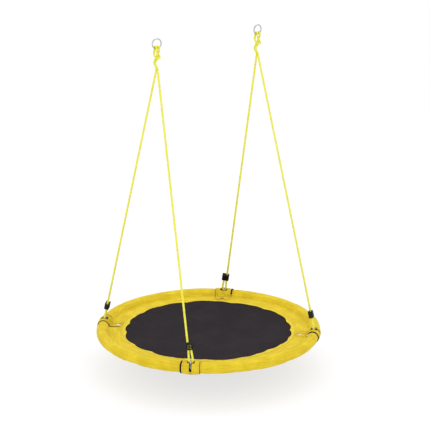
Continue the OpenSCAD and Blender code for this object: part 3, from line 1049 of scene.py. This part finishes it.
tape = Finish("black binding tape", 0.68, Specular_IOR_Level=0.1)
tape_x, tape_y, tape_z = tape.axes(tape.place)
ribs = (tape_x + tape_y).wave(1.6 * MM) * (tape_x - tape_y + tape_z).wave(1.6 * MM)
tape.feed(Base_Color=tape.mottled(tape.speckle(90, 4), 0.4, 0.75, (26, 22, 20), (52, 44, 36)),
          Roughness=ribs * 0.06 + 0.7)
tape.bump(ribs + tape.speckle(800, 2), 0.12 * MM)

roll_fabric = Finish("rolled yellow edge", 0.66, Specular_IOR_Level=0.15)
crossed = roll_fabric.axes(roll_fabric.place)
cord_ribs = (crossed[0] + crossed[1] * 0.6 + crossed[2]).wave(1.8 * MM)
roll_fabric.feed(Base_Color=roll_fabric.mottled(
    roll_fabric.speckle(50, 4), 0.35, 0.7, (226, 198, 44), (240, 216, 76)),
    Roughness=cord_ribs * 0.05 + 0.66)
roll_fabric.bump(cord_ribs * 0.5 + roll_fabric.speckle(500, 2), 0.15 * MM)

# %% Rolls, bindings and slit trims
ROLL_R = 2.1 * MM
TRIM_R = 1.3 * MM
BINDING_W, BINDING_T = 8 * MM, 2.4 * MM
BINDING_SIDES = 12
last_row = len(wrap_across) - 1


def side_line(angle, shift, radius, first):
    """A line round the rim beside a wrap, from a row on, at a radius from the tube's centre."""
    line = []
    for j in range(first, last_row + 1):
        out, up = wrap_across[j]
        if j >= arc_first:
            turn = wrap_turn[j - arc_first]
            out, up = radius * math.cos(turn), radius * math.sin(turn)
        line.append(on_rim(angle + shift / RIM_R, out, up))
    return line


def flat_binding(name, angle, shift):
    """A tape with rounded edges, lofted round the rim beside a wrap."""
    section = []
    for k in range(BINDING_SIDES):
        b = 2 * math.pi * (k + 0.5) / BINDING_SIDES
        wide = BINDING_W / 2 * math.copysign(abs(math.cos(b)) ** 0.5, math.cos(b))
        section.append((wide, BINDING_T / 2 * math.sin(b)))
    centre = on_rim(angle + shift / RIM_R, 0, 0)
    beside = Vector((-math.sin(angle), math.cos(angle), 0))
    rings = []
    for point in side_line(angle, shift, WRAP_EDGE_R, flap_rows + 2):
        outwards = (point - centre).normalized()
        rings.append([point + wide * beside + thick * outwards for wide, thick in section])
    piece = lofted(name, rings)
    piece.data.materials.append(tape.material)
    return piece


def joined_piece(name, parts):
    """One piece of several, with their materials kept."""
    mesh = bpy.data.meshes.new(name)
    whole = bmesh.new()
    for part in parts:
        material = part.data.materials[0]
        if material.name not in mesh.materials:
            mesh.materials.append(material)
        slot_index = list(mesh.materials).index(material)
        count = len(whole.faces)
        whole.from_mesh(part.data)
        whole.faces.ensure_lookup_table()
        for face in whole.faces[count:]:
            face.material_index = slot_index
        bpy.data.objects.remove(part)
    whole.to_mesh(mesh)
    whole.free()
    return new_piece(name, mesh)


def slit_outline():
    """The grid points, as (column, row), round all that is cut out for the lug and rope."""
    middle = WRAP_COLUMNS // 2
    rows = [j for j in range(arc_first, last_row) if wrap_cut(middle, j)]
    half, side = 0, [(0, rows[0])]
    for j in rows:
        wanted = sum(wrap_cut(i, j) for i in range(WRAP_COLUMNS)) // 2
        while half != wanted:
            half += 1 if wanted > half else -1
            side.append((half, j))
        side.append((half, j + 1))
    side += [(inner, rows[-1] + 1) for inner in range(half - 1, -1, -1)]
    return ([(middle + out, j) for out, j in side]
            + [(middle - out, j) for out, j in reversed(side[1:-1])])


slit_loop = slit_outline()
for position in POSITIONS:
    joint_angle = math.radians(JOINT_ANGLE[position])
    grid = wraps[position]
    yellow = [[column[j] for j in range(last_row + 1)] for column in (grid[0], grid[-1])]
    rolls = grow("wrap_rolls_" + position, roll, yellow, Radius=ROLL_R, Sides=10,
                 Material=roll_fabric.material)
    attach(rolls, "swing")
    slit_trim = grow("slit_trim", roll, [[grid[i][j] for i, j in slit_loop]], True,
                     Radius=TRIM_R, Sides=8, Material=tape.material)
    thin = grow("thin_binding", roll, [side_line(joint_angle, WRAP_W / 2 + ROLL_R + 0.6 * MM,
                                                 WRAP_EDGE_R - 0.6 * MM, 0)],
                Radius=TRIM_R, Sides=8, Material=tape.material)
    wide = flat_binding("wide_binding", joint_angle, -WRAP_W / 2 - ROLL_R - BINDING_W / 2)
    trim = joined_piece("black_trim_" + position, [slit_trim, thin, wide])
    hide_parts("wrap_binding_" + position)
    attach(trim, "swing")
print("trims made on", len(wraps), "wraps")

# %% Hook-and-loop strips
hooks = Finish("hook and loop tape", 0.9)
hook_dots = hooks.node("ShaderNodeTexVoronoi", {"Vector": hooks.place, "Scale": 700},
                       out="Distance")
hooks.feed(Base_Color=hooks.mottled(hook_dots, 0.2, 0.6, (40, 39, 38), (18, 18, 18)),
           Roughness=hook_dots * 0.15 + 0.8)
hooks.bump(hook_dots, 0.5 * MM)
for position in POSITIONS:
    paint("wrap_closure_" + position, hooks.material)
print("hook-and-loop strips painted:", len(POSITIONS))

# %% [markdown]
# ## Seat mat
# The mat is a disc of coated mesh, sewn to the band all round. Where the sewing pulls
# unevenly its edge isn't a true circle: it runs in long arcs that meet at shallow corners,
# and it is drawn straight across each joint. A few corners, each an angle and a distance in
# or out, give that edge, and every arc between two corners bows outwards a little.

# %% Edge of the mat
MAT_CORNERS = [(10, -7), (23, -3), (37, -13), (50, 1), (70, -5), (89, 2), (108, -6), (118, -3),
               (132, -12), (150, -8), (174, 2), (192, -4), (210, 4), (221, -6), (232, -4),
               (256, 2), (268, -4), (279, -13), (292, -5), (306, -3), (322, -10), (339, -9),
               (355, 2)]
ARC_BOW = 0.07
MAT_SAG = 9 * MM
HEM_OVERLAP = 3 * MM


def mat_edge(degrees):
    """Radius of the mat's visible edge at an angle round the seat."""
    degrees %= 360
    corners = [(MAT_CORNERS[-1][0] - 360, MAT_CORNERS[-1][1])] + MAT_CORNERS
    corners.append((MAT_CORNERS[0][0] + 360, MAT_CORNERS[0][1]))
    for (a, low), (b, high) in zip(corners, corners[1:]):
        if a <= degrees <= b:
            t = (degrees - a) / (b - a)
            bow = ARC_BOW * math.radians(b - a) * MAT_R * math.sin(math.pi * t)
            return MAT_R + (low + (high - low) * t) * MM + bow
    raise ValueError(degrees)


def mat_height(r, degrees):
    """How far the mat hangs below its held edge at a point."""
    share = min(1.0, r / mat_edge(degrees))
    pull = sum(math.exp(-((degrees - a + 180) % 360 - 180) ** 2 / 60) * min(0, d)
               for a, d in MAT_CORNERS)
    return -MAT_SAG * (1 - share ** 2) + 0.12 * MM * pull * share ** 8 * (1 - share) * 20


# %% Mat finish
mat_cloth = Finish("charcoal mat mesh", 0.74, Specular_IOR_Level=0.03)
mat_x, mat_y, _ = mat_cloth.axes(mat_cloth.place)
threads = mat_x.wave(2.2 * MM) * mat_y.wave(2.2 * MM)
warp = mat_cloth.speckle(1, 3, mat_cloth.stretched(mat_cloth.place, 7, 220, 1))
weft = mat_cloth.speckle(1, 3, mat_cloth.stretched(mat_cloth.place, 220, 7, 1))
dust = mat_cloth.speckle(6, 5).clamp(0.35, 0.75)
mat_tone = (warp * 0.35 + weft * 0.35 + dust * 0.3).clamp(0.25, 0.75)
mat_base = mat_cloth.blend(mat_tone, colour(41, 36, 40), colour(53, 47, 51))
# Towards its edge, under the hem, the mat darkens to brown: a painted shadow of the hem.
mat_cloth.feed(Base_Color=mat_cloth.blend(mat_cloth.attribute("seam"), mat_base,
                                          colour(44, 33, 22)),
               Roughness=dust * 0.12 + threads * 0.05 + 0.68)
mat_cloth.bump(threads * 0.6 + warp * 0.5 + weft * 0.5, 0.3 * MM)

# %% Mat
MAT_SPOKES, MAT_RINGS = 360, 44
MAT_T = 1.4 * MM
UNDER_HEM = 9 * MM
mat_points, mat_faces, mat_hem_shadow = [(0.0, 0.0, MAT_TOP - MAT_SAG)], [], [0.0]
for ring_number in range(1, MAT_RINGS + 1):
    for spoke in range(MAT_SPOKES):
        degrees = spoke * 360 / MAT_SPOKES
        share = (ring_number / MAT_RINGS) ** 0.85
        r = share * (mat_edge(degrees) + UNDER_HEM)
        z = MAT_TOP + mat_height(r, degrees)
        mat_points.append((r * math.cos(math.radians(degrees)),
                           r * math.sin(math.radians(degrees)), z))
        # This mark near the mat's edge sets how much painted hem shadow each point gets.
        mat_hem_shadow.append(smooth_step(r, mat_edge(degrees) - 9 * MM, mat_edge(degrees) - 1 * MM))
for spoke in range(MAT_SPOKES):
    after = (spoke + 1) % MAT_SPOKES
    mat_faces.append((0, 1 + spoke, 1 + after))
    for ring_number in range(MAT_RINGS - 1):
        a, b = 1 + ring_number * MAT_SPOKES, 1 + (ring_number + 1) * MAT_SPOKES
        mat_faces.append((a + spoke, b + spoke, b + after, a + after))
mat_mesh = bpy.data.meshes.new("stretched_mat")
mat_mesh.from_pydata(mat_points, [], mat_faces)
mat_mesh.attributes.new("seam", "FLOAT", "POINT").data.foreach_set("value", mat_hem_shadow)
mat_mesh.materials.append(mat_cloth.material)
smooth_faces(mat_mesh)
mat = new_piece("stretched_mat", mat_mesh)
thicken(mat, MAT_T, finer=False)
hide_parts("seat_mat")
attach(mat, "swing")
print("mat edge from", round(min(mat_edge(d) for d in range(360)), 3), "to",
      round(max(mat_edge(d) for d in range(360)), 3), "m")

# %% [markdown]
# ## Hem
# A folded tape covers the seam between band and mat. It is paler than the cover, and sewn
# down with two rows of stitches. It is lofted round the seat, with its inner side on the
# mat's edge. The stitches are one capsule, placed along a line by Geometry Nodes.

# %% Hem tape
hem_cloth = Finish("pale hem tape", 0.68, Specular_IOR_Level=0.15)
hem_axes = hem_cloth.axes(hem_cloth.place)
hem_ribs = (hem_axes[0] + hem_axes[1]).wave(1.4 * MM) * (hem_axes[0] - hem_axes[1]).wave(1.4 * MM)
hem_cloth.feed(Base_Color=hem_cloth.mottled(hem_cloth.speckle(45, 4), 0.35, 0.7,
                                            (222, 195, 42), (236, 212, 72)),
               Roughness=hem_ribs * 0.05 + 0.68)
hem_cloth.bump(hem_ribs * 0.6 + hem_cloth.speckle(600, 2), 0.15 * MM)

HEM_SPOKES = 720
HEM_TOP = RIM_Z + BAND_Z + FABRIC / 2 + 0.9 * MM
HEM_THICK = 1.5 * MM


def hem_point(degrees, share, up=0.0):
    """A point on top of the hem, from its inner edge at share 0 to its outer at share 1."""
    inner, outer = mat_edge(degrees), BAND_IN_R + HEM_OVERLAP
    r = inner + (outer - inner) * share
    a = math.radians(degrees)
    return Vector((r * math.cos(a), r * math.sin(a), HEM_TOP + up))


hem_rings = []
for spoke in range(HEM_SPOKES + 1):
    degrees = spoke * 360 / HEM_SPOKES
    pucker = 0.25 * MM * noise.noise(Vector((spoke * 0.35, 0, 0)))
    profile = [(0.0, -0.5), (0.02, -0.15), (0.09, 0.0), (0.5, 0.1), (0.93, 0.0), (0.99, -0.2),
               (1.0, -0.6), (0.93, -1.0), (0.5, -1.0), (0.07, -1.0)]
    hem_rings.append([hem_point(degrees, share, up * HEM_THICK + pucker * (up > -0.9))
                      for share, up in profile])
hem_rings[-1] = hem_rings[0]
hem = lofted("sewn_hem", hem_rings, caps=False)
with edited(hem.data) as welded:
    bmesh.ops.remove_doubles(welded, verts=welded.verts, dist=0.001 * MM)
    bmesh.ops.recalc_face_normals(welded, faces=welded.faces)
hem.data.materials.append(hem_cloth.material)
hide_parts("mat_hem")
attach(hem, "swing")

# %% Stitch tree
stitch = GeometryTree("stitch", Pitch="Float", Length="Float", Thickness="Float",
                      Material="Material")
places = stitch.node("GeometryNodeCurveToPoints", {"Curve": stitch.curve,
                     "Length": stitch.input("Pitch")}, mode="LENGTH")
tangent = Socket(stitch, places.socket.node.outputs["Tangent"])
flat = stitch.node("FunctionNodeAlignRotationToVector", {"Vector": tangent}, axis="X")
bead = stitch.node("GeometryNodeMeshUVSphere", {"Segments": 6, "Rings": 4, "Radius": 0.5})
size = stitch.node("ShaderNodeCombineXYZ", [stitch.input("Length"), stitch.input("Thickness"),
                                            stitch.input("Thickness")])
stitch.finish(stitch.node("GeometryNodeInstanceOnPoints", {
    "Points": places, "Instance": bead, "Rotation": flat, "Scale": size}),
    stitch.input("Material"))

thread = Finish("yellow thread", 0.55, Specular_IOR_Level=0.4)
thread.feed(Base_Color=thread.mottled(thread.speckle(300, 2), 0.35, 0.7, (232, 206, 60),
                                      (206, 176, 40)))
thread.bump(thread.speckle(2500, 2), 0.1 * MM)

# %% Rows of stitches
hem_rows = [[hem_point(d, share, 0.15 * MM) for d in range(360)] for share in (0.22, 0.78)]
stitches = grow("hem_stitches", stitch, hem_rows, True, Pitch=5 * MM, Length=3.4 * MM,
                Thickness=0.9 * MM, Material=thread.material)
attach(stitches, "swing")
BAND_TOP = BAND_Z + FABRIC / 2 + 0.1 * MM
quarter_rows = [[on_rim(math.radians(a), -NOSE - 3 * MM, BAND_TOP)
                 for a in range(90 * q + 53, 90 * q + 128)] for q in range(4)]
seam_stitches = grow("cover_stitches", stitch, quarter_rows, Pitch=5 * MM, Length=3.4 * MM,
                     Thickness=0.9 * MM, Material=thread.material)
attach(seam_stitches, "swing")
print("stitch faces:", len(stitches.data.polygons) + len(seam_stitches.data.polygons))

# %% [markdown]
# ## Floor and light
# The swing hangs over a pale floor that glows a little, so it stays near white except for
# a soft shadow under the seat. A large overhead panel gives that shadow, and the even white
# surroundings keep every side bright. A weaker panel beside the camera lifts the front of
# the rim.

# %% Floor
FLOOR_Z = RIM_Z - 0.2
FLOOR_HALF = 30
floor_mesh = bpy.data.meshes.new("floor")
floor_mesh.from_pydata([(x * FLOOR_HALF, y * FLOOR_HALF, FLOOR_Z)
                        for x, y in ((-1, -1), (1, -1), (1, 1), (-1, 1))], [], [(0, 1, 2, 3)])
floor = new_piece("floor", floor_mesh)
paper = Finish("white studio floor", 0.9, Specular_IOR_Level=0.0,
               Emission_Color=(1, 1, 1, 1), Emission_Strength=0.7)
paper.feed(Base_Color=paper.blend(paper.speckle(3), (0.29, 0.292, 0.305, 1),
                                  (0.31, 0.312, 0.325, 1)))
floor_mesh.materials.append(paper.material)


# %% Lights
def panel(name, location, target, size, power):
    data = bpy.data.lights.new(name, "AREA")
    data.shape, data.size, data.energy = "SQUARE", size, power
    lamp = bpy.data.objects.new(name, data)
    lamp.location = location
    lamp.rotation_euler = (Vector(target) - Vector(location)).to_track_quat("-Z", "Y").to_euler()
    bpy.context.scene.collection.objects.link(lamp)


seat = Vector((0, 0, RIM_Z))
panel("overhead", seat + Vector((0.4, 0.2, 4.2)), seat, 3.2, 30)
panel("front fill", seat + 4.5 * back + Vector((-1.5, 0, 0.8)), seat, 3.0, 26)
world = bpy.data.worlds.new("studio")
world.use_nodes = True
world.node_tree.nodes["Background"].inputs["Color"].default_value = (1, 1, 1, 1)
world.node_tree.nodes["Background"].inputs["Strength"].default_value = 1.0
bpy.context.scene.world = world
bpy.context.scene.view_settings.view_transform = "Standard"
print("lights:", len(bpy.data.lights))
